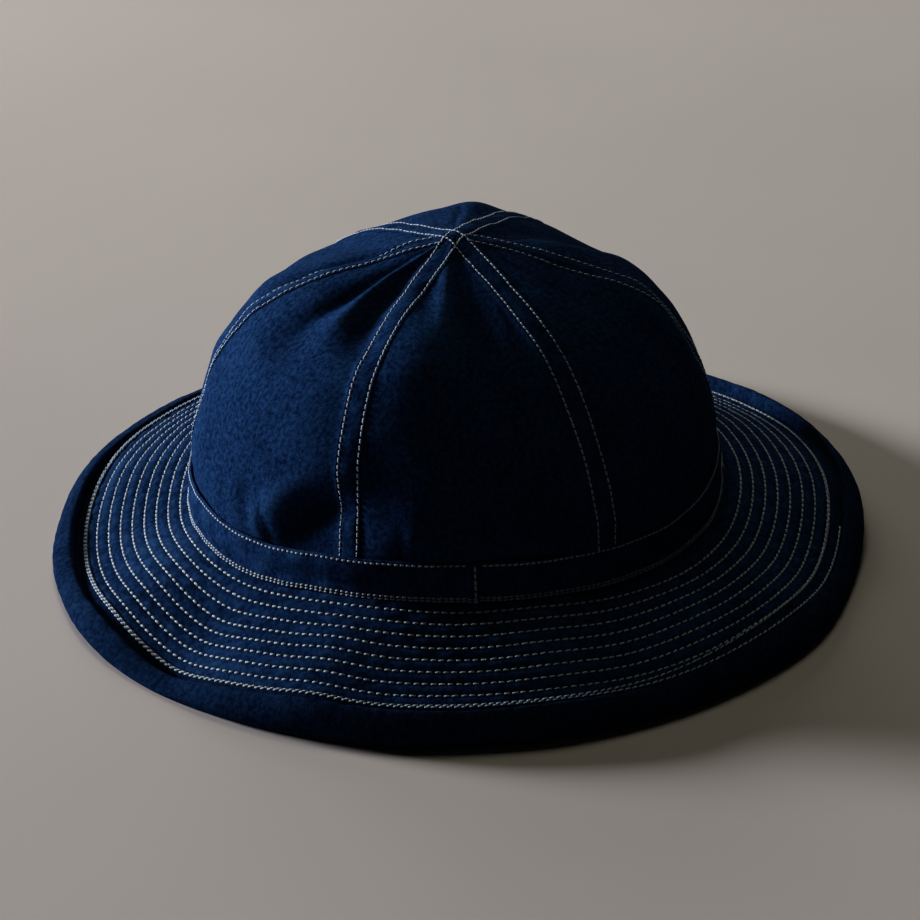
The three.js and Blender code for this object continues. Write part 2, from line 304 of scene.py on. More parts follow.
crownCloth = denimCloth("crown denim", 1.0, 62)
bandCloth = denimCloth("band denim", 1.0, 30)
brimCloth = denimCloth("brim denim", 0.95, 58)
# the binding's colours are dimmed to a 0.66 share: painted shade for the roll, which turns down and out,
# away from the light
bindingCloth = denimCloth("binding denim", 0.66, 12)
topStitch = sewingThread("topstitch thread")
print("materials made")

# Brim

brim = dict(rowOneOut=1.5, spacing=4.7, lastIndex=9, wall=2.0, inner=-0.4, past=1.2, puff=0.5, groove=0.3,
            grooveReach=0.6, ripple=0.12, rippleLength=6.5, broad=0.3, broadLength=36, wander=0.12,
            wanderLength=130, underPuff=0.4, spiralStart=84, spiralEnd=78, spiralIn=18, secondRow=0.14,
            columns=840, rows=88, innerRows=14, rowPoints=2600)
# sections round the hat: angle, height of the first row, slope in degrees, then width, crest and foot of
# the roll
brim["angle"] = [-180, -150, -120, -90, -70, -50, -30, 0, 30, 50, 70, 90, 120, 150]
brim["root"] = [25.0, 25.8, 25.2, 21.3, 22.5, 24.2, 28.7, 29.5, 25.2, 22.7, 22.2, 25.2, 23.4, 23.2]
brim["slope"] = [26.0, 23.0, 18.8, 20.9, 22.0, 26.6, 27.0, 25.2, 20.7, 15.4, 20.4, 17.0, 21.2, 25.6]
brim["width"] = [11.0, 9.8, 10.8, 11.5, 12.2, 12.0, 10.3, 9.2, 10.9, 12.0, 12.0, 11.8, 10.8, 10.4]
brim["crest"] = [9.6, 9.8, 12.4, 8.8, 7.6, 7.4, 11.2, 13.4, 12.0, 11.4, 10.4, 16.4, 11.8, 9.2]
brim["foot"] = [-1.3, 0.4, 1.2, 0.1, -0.7, -0.7, 0.0, 1.2, 0.0, -1.4, -0.4, 1.6, 0.9, 0.0]

brim["spiral"] = [(8, 52, 0.77), (85, 120, 0.23)]  # first angle, last angle, share of a row moved out
brim["turn"] = (-240, 120)  # angles over which the spiral is sewn once round
brim["held"] = (-9, -2)  # distance from the last row over which the binding's seam holds the cloth down
brim["buckleFade"] = (2, 22)  # distance out over which the buckles grow
brim["buckles"] = [  # soft waves of the brim: angle, reach in degrees, height in mm
    (-25, 6.5, 2.1), (-50, 8, -2.7), (-67, 6, 1.2), (-84, 8, -0.5), (-108, 8, 0.6), (-128, 8, -0.6),
    (22, 8, -0.6), (41, 9, 0.6), (62, 8, -0.6), (110, 9, 0.7), (135, 9, -0.6), (165, 9, 0.5)]


# cubic through a column of the brim's sections, once round the hat, its slope at a section set by the
# sections beside it
def aroundHat(column, angle):
    knots = np.array(brim["angle"], float)
    values = np.array(brim[column], float)
    count = len(knots)
    turn = (np.asarray(angle, float) - knots[0]) % 360 + knots[0]
    at = np.searchsorted(knots, turn, side="right") - 1
    picked = at[..., None] + np.array([-1, 0, 1, 2])
    wraps = picked // count
    a = knots[picked - wraps * count] + 360 * wraps
    v = values[picked - wraps * count]
    step = a[..., 2] - a[..., 1]
    s = (turn - a[..., 1]) / step
    start = (v[..., 2] - v[..., 0]) / (a[..., 2] - a[..., 0]) * step
    end = (v[..., 3] - v[..., 1]) / (a[..., 3] - a[..., 1]) * step
    rise = v[..., 2] - v[..., 1]
    return v[..., 1] + s * start + s**2 * (3 * rise - 2 * start - end) + s**3 * (start + end - 2 * rise)


# slope of the brim at an angle: first row's height, fall in radians, distance out of the last row
def brimSlope(angle):
    slope = np.radians(aroundHat("slope", angle))
    return aroundHat("root", angle), slope, brim["lastIndex"] * brim["spacing"] * np.cos(slope)


# height of the brim's plain slope at a distance out from its first row, with the buckles growing outward
def slopeHeight(angle, out):
    root, slope = brimSlope(angle)[:2]
    wave = sum(high * bell(nearTurn(angle - at), reach) for at, reach, high in brim["buckles"])
    return root - out * np.tan(slope) + wave * easeStep(*brim["buckleFade"], out)


# share of a row by which the spiral has moved out at an angle: most of it at the front right, the rest
# behind the right side, with a little wander of the seam
def spiralShift(angle):
    turn = nearTurn(angle)
    wander = clothWave(300, ovalPoint(angle, 20, 0), brim["wanderLength"]) * brim["wander"]
    moved = sum(share * easeStep(first, last, turn) for first, last, share in brim["spiral"])
    return moved + wander / brim["spacing"]


# distance out from the first row of a place down the slope, counted in rows
def rowOut(index, angle):
    return index * brim["spacing"] * np.cos(brimSlope(angle)[1])


# relief of the brim's upper face: channels puff up between the rows that pull them down, short ripples
# across them, and a broad slackness
def brimRelief(angle, out):
    slope, lastOut = brimSlope(angle)[1:]
    spacing = brim["spacing"] * np.cos(slope)
    phase = out / spacing - spiralShift(angle)
    near = np.minimum(np.abs(phase - np.round(phase)) * spacing, np.abs(out - lastOut))
    channel = np.clip(near / (0.5 * brim["spacing"]), 0, 1)
    plain = ovalPoint(angle, out, 0)
    wave = clothWave(21, plain, brim["rippleLength"])
    broad = clothWave(22, plain, brim["broadLength"])
    lift = brim["puff"] * (channel**0.7 - 0.6) - 0.5 * brim["groove"] * bell(near, brim["grooveReach"])
    slack = 1 - easeStep(*brim["held"], out - lastOut)
    lift = lift + brim["ripple"] * wave * (0.35 + 0.65 * channel) + brim["broad"] * broad * slack
    # paler on the puffed channels and in patches with wear; darker in the grooves along the rows, which is
    # painted shade
    wearDirtAndShade = 0.4 * wave * channel + 0.25 * channel - 0.7 * bell(near, 0.7) + 0.2 * broad
    return lift, wearDirtAndShade


# point of the brim's upper face with that relief, or raised by a given amount instead; the normal; the wear
# and painted shade
def brimTop(angle, out, raised=None):
    slope = brimSlope(angle)[1]
    lift, wearDirtAndShade = brimRelief(angle, out)
    normal = ovalNormal(angle) * np.sin(slope)[..., None] + np.array([0, 0, 1]) * np.cos(slope)[..., None]
    plain = ovalPoint(angle, brim["rowOneOut"] + out, slopeHeight(angle, out))
    return plain + normal * (lift if raised is None else raised)[..., None], normal, wearDirtAndShade


# brim wall: upper face from its outer edge in to the crown, lower face a wall below it with its channels
# puffed the other way, less deep
def makeBrim():
    angle = np.linspace(0, 360, brim["columns"], endpoint=False)[:, None]
    edge = brimSlope(angle)[2] + brim["past"]
    out = edge + np.linspace(0, 1, brim["rows"])[None, :] * (brim["inner"] - edge)
    angle = np.broadcast_to(angle, out.shape)
    outer, normal, wearDirtAndShade = brimTop(angle, out)
    lift = brimRelief(angle, out)[0]
    inner = outer - normal * (brim["wall"] + (1 + brim["underPuff"]) * lift)[..., None]
    inner[..., :2] = outer[..., :2]
    flatUv = np.concatenate([outer[..., :2], outer[:1, :, :2]]) / 100
    clothPiece("brim", outer, inner, flatUv, wearDirtAndShade, brimCloth, brim["innerRows"])


makeBrim()

# Crown

crown = dict(leanX=3.3, leanY=2.1, footBelow=2, wall=1.2, tip=0.06, pile=0.5, pileReach=9, dentsFrom=0.01,
             softFrom=0.025, foldsFrom=0.065, foldsFull=0.125, bulge=0.6, bulgeAt=0.16, bulgeReach=0.04,
             soft=0.3, softLength=28, fine=0.07, fineLength=10, columns=64, lapColumns=26, rows=132)
crown["share"] = [1.0, 1.0, 0.968, 0.885, 0.745, 0.545, 0.275, 0.0]  # of the foot's oval, foot to top
crown["height"] = [23, 45, 62, 80, 96, 105.4, 111.6, 116.8]
crown["flatAt"] = [0, 0.35, 0.7, 1]  # panels are flatter than the oval, more so higher up
crown["flat"] = [0.004, 0.014, 0.035, 0.05]
crown["calm"] = (3, 14)  # distances from the top's middle over which wrinkles and grooves come in
crown["pileFade"] = (6, 15)  # and over which the pile of seams there thins out

crown["seams"] = dict(  # angle at the foot, the most it strays on the way up
    frontLeft=(-27.0, -1.8), frontRight=(29.2, -2.1), right=(95, -16.5), backRight=(150, 0),
    backLeft=(210, 0), left=(264.5, 7))

crown["panels"] = dict(  # first seam, second seam, turn taken off the first
    panel_front=("frontLeft", "frontRight", 0), panel_front_right=("frontRight", "right", 0),
    panel_back_right=("right", "backRight", 0), panel_back=("backRight", "backLeft", 0),
    panel_back_left=("backLeft", "left", 0), panel_front_left=("left", "frontLeft", 360))

felledSeam = dict(half=4.2, rise=1.3, halfShare=0.28, riseShare=0.08, lift=0.42, rowOut=3.55,
                  rowOutTop=3.05, rowFrom=0.085, rowClose=0.93, rowTo=0.9999, rowPoints=700, sideStop=5.7,
                  groove=0.24, grooveReach=0.7, ripple=0.09, rippleLength=8.5, reach=6.5)

crown["folds"] = np.array([  # angle, share up, reach in degrees, reach up, slant, depth in mm
    (-62, 0.74, 8, 0.13, 0, 2.6), (-40, 0.76, 7, 0.12, 40, 2.1), (-51, 0.78, 7, 0.14, 15, -1.6),
    (-30.5, 0.17, 12, 0.17, -40, 5.2), (-52, 0.17, 5, 0.10, 0, 1.4), (-13, 0.17, 5, 0.08, 0, -1.4),
    (-14, 0.60, 12, 0.18, 55, -2.0), (8, 0.50, 14, 0.22, 20, 2.2), (45, 0.62, 9, 0.20, 0, -1.8),
    (73, 0.43, 8, 0.17, 0, -3.8), (87, 0.43, 8, 0.14, 0, 2.6), (-95, 0.36, 6.5, 0.16, 0, 2.6),
    (122, 0.70, 14, 0.18, 0, 3.6), (142, 0.64, 12, 0.16, 0, 1.6), (128, 0.61, 17, 0.12, 0, 3.2),
    (168, 0.68, 9, 0.16, 0, -2.4), (-155, 0.62, 16, 0.16, 0, 3.8), (-127, 0.65, 20, 0.20, 0, 5.2)])

crown["creases"] = np.array([  # finer folds of the cloth, same columns
    (-63.5, 0.75, 3.4, 0.13, 0, 1.2), (-51, 0.78, 3.6, 0.13, 15, -0.9), (-42, 0.77, 3.4, 0.12, 40, 0.7),
    (-36, 0.17, 6, 0.15, -74, 2.0), (-46, 0.21, 4.5, 0.13, -74, -1.2), (-7, 0.76, 7, 0.15, 25, -1.9),
    (4, 0.76, 8, 0.16, 0, 1.2), (-96, 0.74, 4.5, 0.16, 0, 2.2), (-54.5, 0.16, 1.5, 0.09, 20, 0.7),
    (-48.5, 0.14, 1.4, 0.08, 20, 0.8), (-51, 0.15, 1.7, 0.08, 20, -0.6), (-62, 0.14, 1.8, 0.06, 8, 0.6),
    (-24, 0.15, 1.6, 0.06, 5, 0.6), (-15, 0.14, 1.5, 0.05, -6, 0.6), (-8, 0.22, 2.2, 0.09, -10, 0.5),
    (3, 0.20, 2.0, 0.08, 8, 0.5), (12, 0.16, 1.8, 0.06, 0, 0.5), (40, 0.16, 1.8, 0.06, 0, 0.6),
    (58, 0.18, 2.2, 0.08, 6, 0.7), (74, 0.15, 1.8, 0.06, -6, 0.6), (104, 0.17, 2.2, 0.08, 0, 0.7),
    (133, 0.16, 2.0, 0.07, 5, 0.6), (163, 0.16, 2.2, 0.07, 0, 0.7), (190, 0.18, 2.4, 0.08, -8, 0.7),
    (222, 0.16, 2.0, 0.06, 0, 0.6), (246, 0.18, 2.4, 0.08, 6, 0.7), (114, 0.80, 3.2, 0.10, 0, 0.7),
    (200, 0.78, 3.4, 0.10, 10, 0.7), (172, 0.82, 3.2, 0.09, -12, 0.7), (-110, 0.80, 3.2, 0.10, 8, 0.7),
    (52, 0.80, 2.8, 0.09, 0, 0.6), (76, 0.78, 3.0, 0.10, -8, 0.7), (20, 0.70, 2.6, 0.10, -20, 0.5)])

profile = np.stack([crown["share"], crown["height"]], -1)
meanRoot = crown["height"][0] + crown["footBelow"]
fineUp = np.linspace(0, 1, 2001)
fineProfile = curveThrough(profile, fineUp) * [hat["halfWidth"], 1]
fineAlong = np.concatenate([[0], np.cumsum(np.linalg.norm(np.diff(fineProfile, axis=0), axis=1))])


# crown before its cloth folds: the foot's oval shrunk by the profile, its top slipped back and to the
# right, its lower edge following the brim
def crownOval(angle, up, flat):
    share, height = np.moveaxis(curveThrough(profile, up), -1, 0)
    reach = share * (1 - flat)
    turn = np.radians(angle)
    wave = (aroundHat("root", angle) - meanRoot) * (1 - up) ** 2
    return np.stack([crown["leanX"] * up**2 + reach * hat["halfWidth"] * np.sin(turn),
                     crown["leanY"] * up**2 - reach * hat["halfLength"] * np.cos(turn), height + wave], -1)


# its outward normal, from small steps round and up
def crownNormal(angle, up):
    low, high = np.maximum(up - 0.02, 0), np.minimum(up + 0.02, 0.99)
    turn = (crownOval(angle + 1, high, 0) - crownOval(angle - 1, high, 0)
            + crownOval(angle + 1, low, 0) - crownOval(angle - 1, low, 0))
    return unit(np.cross(turn, crownOval(angle, high, 0) - crownOval(angle, low, 0)))


# depth of a table of dents: bells round and up the crown, slanted; dents run down behind the band, bulges
# stop over it
def foldDepth(table, angle, up):
    depth = 0
    for at, height, wide, tall, slant, deep in table:
        turn = angle - at + slant * (up - height)
        depth = depth + deep * bell(nearTurn(turn), wide) * bell(up - height, tall)
    bulges = np.minimum(depth, 0) * easeStep(crown["foldsFrom"], crown["foldsFull"], up)
    return np.maximum(depth, 0) * easeStep(crown["dentsFrom"], crown["foldsFrom"], up) + bulges


# angle of a seam at a share up the crown: its foot's angle and a stray that swells and dies away as a sine
def seamAngle(seam, up):
    foot, stray = crown["seams"][seam]
    return foot + stray * np.sin(np.pi * up**2)


# distance of a felled seam's stitched rows from its line, closer toward the top
def seamRowOut(up):
    return felledSeam["rowOut"] + (felledSeam["rowOutTop"] - felledSeam["rowOut"]) * easeStep(0.3, 0.95, up)


# radius of the crown's plain oval at a share up
def crownRadius(up):
    return curveThrough(profile, up)[..., 0] * hat["halfWidth"]


# lift of the crown's cloth and its wear and painted shade: dents and creases, soft wrinkles, seams piled up
# at the top, a slight bulge over the band, and beside each seam, by the distance past its line, a groove at
# both rows and a ripple along it
def crownRelief(angle, up, *pastSeams):
    plain = crownOval(angle, up, 0)
    radius = crownRadius(up)
    calm = easeStep(*crown["calm"], radius)
    free = easeStep(crown["softFrom"], crown["foldsFull"], up)
    creased = foldDepth(crown["creases"], angle, up)
    soft = crown["soft"] * clothWave(11, plain, crown["softLength"])
    soft = soft + crown["fine"] * clothWave(12, plain, crown["fineLength"])
    ripple = clothWave(13, plain, felledSeam["rippleLength"])
    lift = soft * calm * free - foldDepth(crown["folds"], angle, up) - creased
    lift = lift + crown["pile"] * bell(radius, crown["pileReach"])
    lift = lift + crown["bulge"] * bell(up - crown["bulgeAt"], crown["bulgeReach"])
    # the creases' dents are darkened with painted shade; their ridges are paler with wear
    wearDirtAndShade = 0.3 * soft - 0.5 * creased
    for past in pastSeams:
        near = calm * bell(past, felledSeam["reach"])
        lift = lift + felledSeam["ripple"] * ripple * near
        fromRow = np.abs(past) - seamRowOut(up)
        lift = lift - felledSeam["groove"] * calm * bell(fromRow, felledSeam["grooveReach"])
        wearDirtAndShade = wearDirtAndShade + 0.3 * ripple * near
    return lift, wearDirtAndShade


# one panel on a grid of distance across and share up; its second edge is folded over its neighbour as the
# lap of a felled seam, its first edge goes under the neighbour's lap
def crownPanel(node, firstSeam, secondSeam, turnBack):
    lastSlope = crown["share"][-2] * (len(profile) - 1) / 2
    up = np.linspace(0, 1 - crown["tip"] / (hat["halfWidth"] * lastSlope), crown["rows"])[None, :]
    first = seamAngle(firstSeam, up) - turnBack
    second = seamAngle(secondSeam, up)
    width = np.radians(second - first) * crownRadius(up)
    half = np.minimum(felledSeam["half"], felledSeam["halfShare"] * width)
    rise = np.minimum(felledSeam["rise"], felledSeam["riseShare"] * width)
    start = 0.035 * half
    body = np.linspace(0, 1, crown["columns"])[:, None]
    lapShare = np.linspace(0, 1, crown["lapColumns"])[1:, None]
    lapShare = 1 - (1 - lapShare) ** 1.4  # closer at the folded edge
    lapStart = width - half - rise
    aside = np.concatenate([start + body * (lapStart - start), lapStart + lapShare * (2 * half + rise)])
    up, width, half, rise = (np.broadcast_to(row, aside.shape) for row in (up, width, half, rise))
    share = aside / width
    angle = first + (second - first) * share
    past = aside - width
    flat = np.interp(up, crown["flatAt"], crown["flat"]) * np.abs(np.sin(np.pi * share))
    lift, wearDirtAndShade = crownRelief(angle, up, aside, past)
    pile = 1 - easeStep(*crown["pileFade"], crownRadius(up))  # at the top all cloth is as high as the laps
    lap = easeStep(-half - rise, -half, past)
    edge = np.clip((past - half + 0.5) / 0.5, 0, 1)
    raised = felledSeam["lift"] * np.maximum(lap * (1 - 0.4 * edge**2), pile)
    wearDirtAndShade = wearDirtAndShade + 0.4 * bell(past - half, 0.7) + 0.15 * bell(past + half + 0.5 * rise, 1.0)
    # painted shade: darker on the cloth just past the folded edge of the neighbour's lap
    wearDirtAndShade = wearDirtAndShade - 0.4 * bell(aside - half - 0.4, 0.5)
    normal = crownNormal(angle, up)
    surface = crownOval(angle, up, flat)
    outer = surface + normal * (lift + raised)[..., None]
    onLap = past / np.maximum(half, 0.2) * felledSeam["half"]
    under = easeStep(-1.3, -0.2, onLap)  # the lap lies on its neighbour
    below = (1 - under) * crown["wall"] - under * (0.1 + 0.9 * pile) * raised
    inner = surface + normal * (lift - below)[..., None]
    uv = np.stack([aside - width / 2, np.interp(up, fineUp, fineAlong)], -1) / 100
    clothPiece(node, outer, inner, uv, wearDirtAndShade, crownCloth)


for panelName, panelSeams in crown["panels"].items():
    crownPanel(panelName, *panelSeams)

# Band

hatBand = dict(gap=0.6, wall=1.1, height=13.3, lift=0.05, puff=0.4, ripple=0.09, rippleLength=9,
               broad=0.18, broadLength=34, groove=0.2, grooveReach=0.6, topRow=0.85, lowRow=1.1,
               joinAngle=0.6, lapWidth=3.2, lapLift=0.7, sink=0.3, lean=0.55, leanFrom=5, flare=1.2,
               flareTo=4, edge=0.7, edgeDrop=0.5, columns=840, rows=20, rowPoints=2400)
bandDegree = np.radians(1) * hat["halfWidth"]  # millimetres along the band for each degree


# strip round the foot of the crown: puffed between its rows, its top edge leaning on the crown, its foot
# flared onto the brim, its end lapped over its sunk start; the angle runs on from the start to the end
def bandFace(angle, height):
    root, slope = brimSlope(angle)[:2]
    topRow = hatBand["height"] - hatBand["topRow"]
    share = np.clip((height - hatBand["lowRow"]) / (topRow - hatBand["lowRow"]), 0, 1)
    plain = ovalPoint(angle, 0, root + height)
    wave = clothWave(31, plain, hatBand["rippleLength"])
    broad = clothWave(32, plain, hatBand["broadLength"])
    grooves = sum(bell(height - row, hatBand["grooveReach"]) for row in (hatBand["lowRow"], topRow))
    rounded = np.clip((height - hatBand["height"] + hatBand["edge"]) / hatBand["edge"], 0, 1) ** 2
    relief = hatBand["puff"] * np.sin(np.pi * share) ** 0.6
    relief = relief + hatBand["ripple"] * wave + hatBand["broad"] * broad
    relief = relief - hatBand["groove"] * grooves - hatBand["edgeDrop"] * rounded
    leaning = easeStep(hatBand["height"] - hatBand["leanFrom"], hatBand["height"], height)
    relief = relief - hatBand["lean"] * leaning
    fromJoin = (angle - hatBand["joinAngle"]) * bandDegree
    toEnd = fromJoin - 360 * bandDegree
    lapped = easeStep(-hatBand["lapWidth"] - 1.0, -hatBand["lapWidth"], toEnd)
    sunk = 1 - easeStep(0.3, 3.0, fromJoin)
    relief = relief + hatBand["lapLift"] * lapped - hatBand["sink"] * sunk
    # paler at the top edge and the lap with wear; darker in the grooves at both rows, which is painted shade
    wearDirtAndShade = 0.3 * wave + 0.4 * bell(height - hatBand["height"], 0.6) - 0.35 * grooves
    wearDirtAndShade = wearDirtAndShade + 0.5 * bell(toEnd, 0.6) + 0.4 * bell(toEnd + hatBand["lapWidth"] + 0.3, 0.6)
    flare = hatBand["flare"] * (1 - easeStep(0, hatBand["flareTo"], height))
    z = root + hatBand["lift"] + height - flare * np.tan(slope)
    return z, hatBand["gap"] + hatBand["wall"] + relief + flare, wearDirtAndShade


# band wall: its outer face on a grid round the crown and up, finer at the lap, its inner face half a wall
# behind
def makeBand():
    start = hatBand["joinAngle"] - hatBand["lapWidth"] / bandDegree
    end = hatBand["joinAngle"] + 360
    even = np.linspace(start, end, hatBand["columns"])
    close = np.linspace(end - 6 / bandDegree, end, 24)[:-1]  # finer at the lap
    angle = np.unique(np.concatenate([even, close]))[:, None]
    height = (np.linspace(0, 1, hatBand["rows"]) ** 0.85)[None, :] * hatBand["height"]
    angle, height = np.broadcast_arrays(angle, height)
    z, outward, wearDirtAndShade = bandFace(angle, height)
    outer = ovalPoint(angle, outward, z)
    inner = ovalPoint(angle, outward - 0.55 * hatBand["wall"], z)
    uv = np.stack([angle * bandDegree, height], -1) / 100
    clothPiece("hat_band", outer, inner, uv, wearDirtAndShade, bandCloth)


makeBand()

# Binding

binding = dict(wall=1.0, overlap=1.4, stand=0.5, under=1.3, puff=0.2, puffLength=42, ripple=0.1,
               rippleLength=9, drag=0.05, dragLength=5.5, groove=0.2, columns=840, legSteps=10, rollSteps=44,
               innerRows=20, reach=145, legRight=2.5, legLeft=2.3, legLeftAt=-66, legLeftReach=13, ditch=0.2,
               ditchLeft=1.3, crestAt=0.47, crestLeft=0.05, crestBackLeft=0.11)
binding["rightSpan"] = (4, 40, 95, 120)  # angles between which the upper leg lies flat further out
binding["ditchSpan"] = (-135, -106, -84, -64)  # and the ditch is deep
binding["leftSpan"] = (-178, -150, -60, 0)  # and the crest lies further in
binding["backLeft"] = (-126, -100)  # most so behind these
binding["rolled"] = (0, 4, 17, 24)  # distances round the roll between which it puffs
binding["out"] = [0.78, 1.0, 0.87, 0.6]  # path of the roll past its crest, share of its width
binding["up"] = [0.82, 0.44, 0.07, 0.0]  # and share of its height, foot to crest


# how far the binding's upper leg lies flat past the last row: further on the right and at the front left
def pinchOut(angle):
    turn = nearTurn(angle)
    right = binding["legRight"] * between(binding["rightSpan"], turn)
    left = binding["legLeft"] * bell(turn - binding["legLeftAt"], binding["legLeftReach"])
    return brim["past"] + right + left


# depth of the ditch between the last row and the roll: deep on the left
def ditchDepth(angle):
    return binding["ditch"] + binding["ditchLeft"] * between(binding["ditchSpan"], nearTurn(angle))


# how far the roll's crest lies past the last row, share of its width: less on the left, least at the back
# left
def crestShare(angle):
    turn = nearTurn(angle)
    back = 1 - easeStep(*binding["backLeft"], turn)
    less = binding["crestLeft"] + binding["crestBackLeft"] * back
    return binding["crestAt"] - between(binding["leftSpan"], turn) * less


# how high the binding's upper leg stands over the brim's plain slope: rounded at its edge, pulled down by
# the row that holds it
def legRise(angle, out):
    lastOut = brimSlope(angle)[2]
    share = np.clip((out - lastOut + binding["overlap"]) / (binding["overlap"] + pinchOut(angle)), 0, 1)
    rounded = 0.3 + 0.7 * share + 0.25 * np.sin(np.pi * share)
    return binding["stand"] * rounded - binding["groove"] * bell(out - lastOut, 0.6) * (1 - share)


# section of the binding at each angle (nI, nJ, 2): upper leg, ditch and roll through their shape points,
# lower leg
def bindingPaths(angle):
    root, slope, lastOut = brimSlope(angle)
    crest, foot, width = (aroundHat(column, angle) for column in ("crest", "foot", "width"))
    below = brim["wall"] / np.cos(slope) + binding["under"]
    lower = lambda out: np.maximum(slopeHeight(angle, out) - below, 0)
    start = lastOut - binding["overlap"]
    pinch = lastOut + pinchOut(angle)
    tuck = lastOut + brim["past"]
    top = lastOut + crestShare(angle) * width
    middle = 0.5 * (pinch + top)
    crest = crest + slopeHeight(angle, lastOut) - root + lastOut * np.tan(slope)  # rides on the buckles
    shape = [(pinch, slopeHeight(angle, pinch) + binding["stand"])]
    shape.append((middle, slopeHeight(angle, middle) + binding["stand"] - ditchDepth(angle)))
    shape.append((top, crest))
    for out, up in zip(binding["out"], binding["up"]):
        shape.append((lastOut + out * width, foot + up * (crest - foot)))
    shape.append((tuck, lower(tuck)))
    points = np.stack([np.stack(point, -1) for point in shape], -2)
    roll = curveThrough(points, np.linspace(0, 1, binding["rollSteps"]))
    leg = start[:, None] + np.linspace(0, 1, binding["legSteps"], endpoint=False) * (pinch - start)[:, None]
    wide = np.broadcast_to(angle[:, None], leg.shape)
    first = np.stack([leg, slopeHeight(wide, leg) + legRise(wide, leg)], -1)
    back = np.stack([start, lower(start)], -1)[:, None]
    path = np.concatenate([first, roll, back], 1)
    path[..., 1] = np.maximum(path[..., 1], 0)
    return path


# normal of each path, to its left when walked from the upper leg
def pathNormal(path):
    run = np.gradient(path, axis=1)
    return unit(np.stack([-run[..., 1], run[..., 0]], -1))


# binding wall: the paths puffed and rippled along their normals, pressed flat on the floor
def makeBinding():
    angle = np.linspace(0, 360, binding["columns"], endpoint=False)
    path = bindingPaths(angle)
    side = pathNormal(path)
    walked = np.cumsum(np.linalg.norm(np.diff(path, axis=1, prepend=path[:, :1]), axis=-1), axis=1)
    beyond = walked - walked[:, binding["legSteps"]][:, None]
    wide = np.broadcast_to(angle[:, None], beyond.shape)
    plain = ovalPoint(wide, path[..., 0], path[..., 1])
    wave = clothWave(41, plain, binding["rippleLength"])
    broad = clothWave(42, plain, binding["puffLength"])
    drag = clothWave(43, plain, binding["dragLength"])
    rise = between(binding["rolled"], beyond)
    lift = rise * (binding["puff"] * broad + binding["drag"] * drag)
    lift = lift + binding["ripple"] * wave * bell(beyond - 3, 5) * easeStep(0, 1.5, beyond)
    lift = lift * easeStep(0, 1.5, path[..., 1])
    # paler on the roll's crest with wear; darker where the flat leg meets the ditch, which is painted shade
    wearDirtAndShade = 0.12 * wave * rise + 0.25 * bell(beyond - 7, 4) + 0.1 * drag - 0.6 * bell(beyond - 0.2, 1.2)
    face = path + side * lift[..., None]
    face[..., 1] = np.maximum(face[..., 1], 0)
    back = face - side * np.where(beyond < 0, 0.35, binding["wall"])[..., None]
    back[..., 1] = np.maximum(back[..., 1], 0.3)
    turned = slice(None, None, -1)
    outer = ovalPoint(wide, brim["rowOneOut"] + face[..., 0], face[..., 1])[:, turned]
    inner = ovalPoint(wide, brim["rowOneOut"] + back[..., 0], back[..., 1])[:, turned]
    arc = np.radians(np.append(angle, 360))[:, None] * binding["reach"]
    uv = np.stack(np.broadcast_arrays(arc, np.concatenate([walked, walked[:1]])), -1)[:, turned] / 100
    clothPiece("brim_binding", outer, inner, uv, wearDirtAndShade[:, turned], bindingCloth,
               binding["innerRows"])


makeBinding()

# Stitching

thread = dict(flat=0.6, sides=6, stations=[-1, -0.55, 0.55, 1], arch=0.12, dip=0.28, taper=0.3, scatter=0.04,
              lengthScatter=0.05, turnScatter=3, soil=0.5)
rows = dict(  # pitch, length of a stitch, thread's half width, turn out of the row in degrees
    crown=(2.3, 2.3, 0.36, 4), bandTop=(2.05, 2.0, 0.37, 4), bandLow=(2.0, 1.95, 0.33, 8),
    bandJoin=(2.2, 2.3, 0.42, 3), brim=(2.8, 2.7, 0.43, 5), edge=(2.5, 2.45, 0.42, 8))


# stitches along a path with normals: each a short thread that comes up, lies on the cloth and goes down,
# turned a little out of its row; a tube of a few sides round an arched line
def sewStitches(path, normal, row, seed):
    pitch, length, radius, turn = rows[row]
    rng = np.random.default_rng(seed)
    walked = np.concatenate([[0], np.cumsum(np.linalg.norm(np.diff(path, axis=0), axis=1))])
    count = max(int(walked[-1] // pitch), 1)
    middle = (np.arange(count) + 0.5) * walked[-1] / count + rng.normal(0, thread["scatter"] * pitch, count)
    reach = length / 2 * rng.normal(1, thread["lengthScatter"], count)[:, None]
    station = np.array(thread["stations"])
    at = lambda values, s: np.stack([np.interp(s, walked, values[:, k]) for k in range(3)], -1)
    place = middle[:, None] + station * reach
    line = at(path, place)
    up = unit(at(normal, place))
    ahead = unit(at(path, middle + 0.4) - at(path, middle - 0.4))[:, None]
    aside = unit(np.cross(up, np.broadcast_to(ahead, up.shape)))
    turned = np.radians(turn + rng.normal(0, thread["turnScatter"], count))
    yaw = np.tan(turned)[:, None] * station * reach
    arch = thread["arch"] * (1 - station**2) - (radius + thread["dip"]) * station**4
    high = radius * thread["flat"] + arch
    line = line + aside * yaw[..., None] + up * high[None, :, None]
    sides = 2 * np.pi * np.arange(thread["sides"]) / thread["sides"]
    thick = radius * (1 - thread["taper"] * station**4)[:, None]
    ring = (aside[:, :, None] * (thick * np.cos(sides))[None, ..., None]
            + up[:, :, None] * (thread["flat"] * thick * np.sin(sides))[None, ..., None])
    return (line[:, :, None] + ring).reshape(-1, 3), rng.uniform(0, thread["soil"], count)


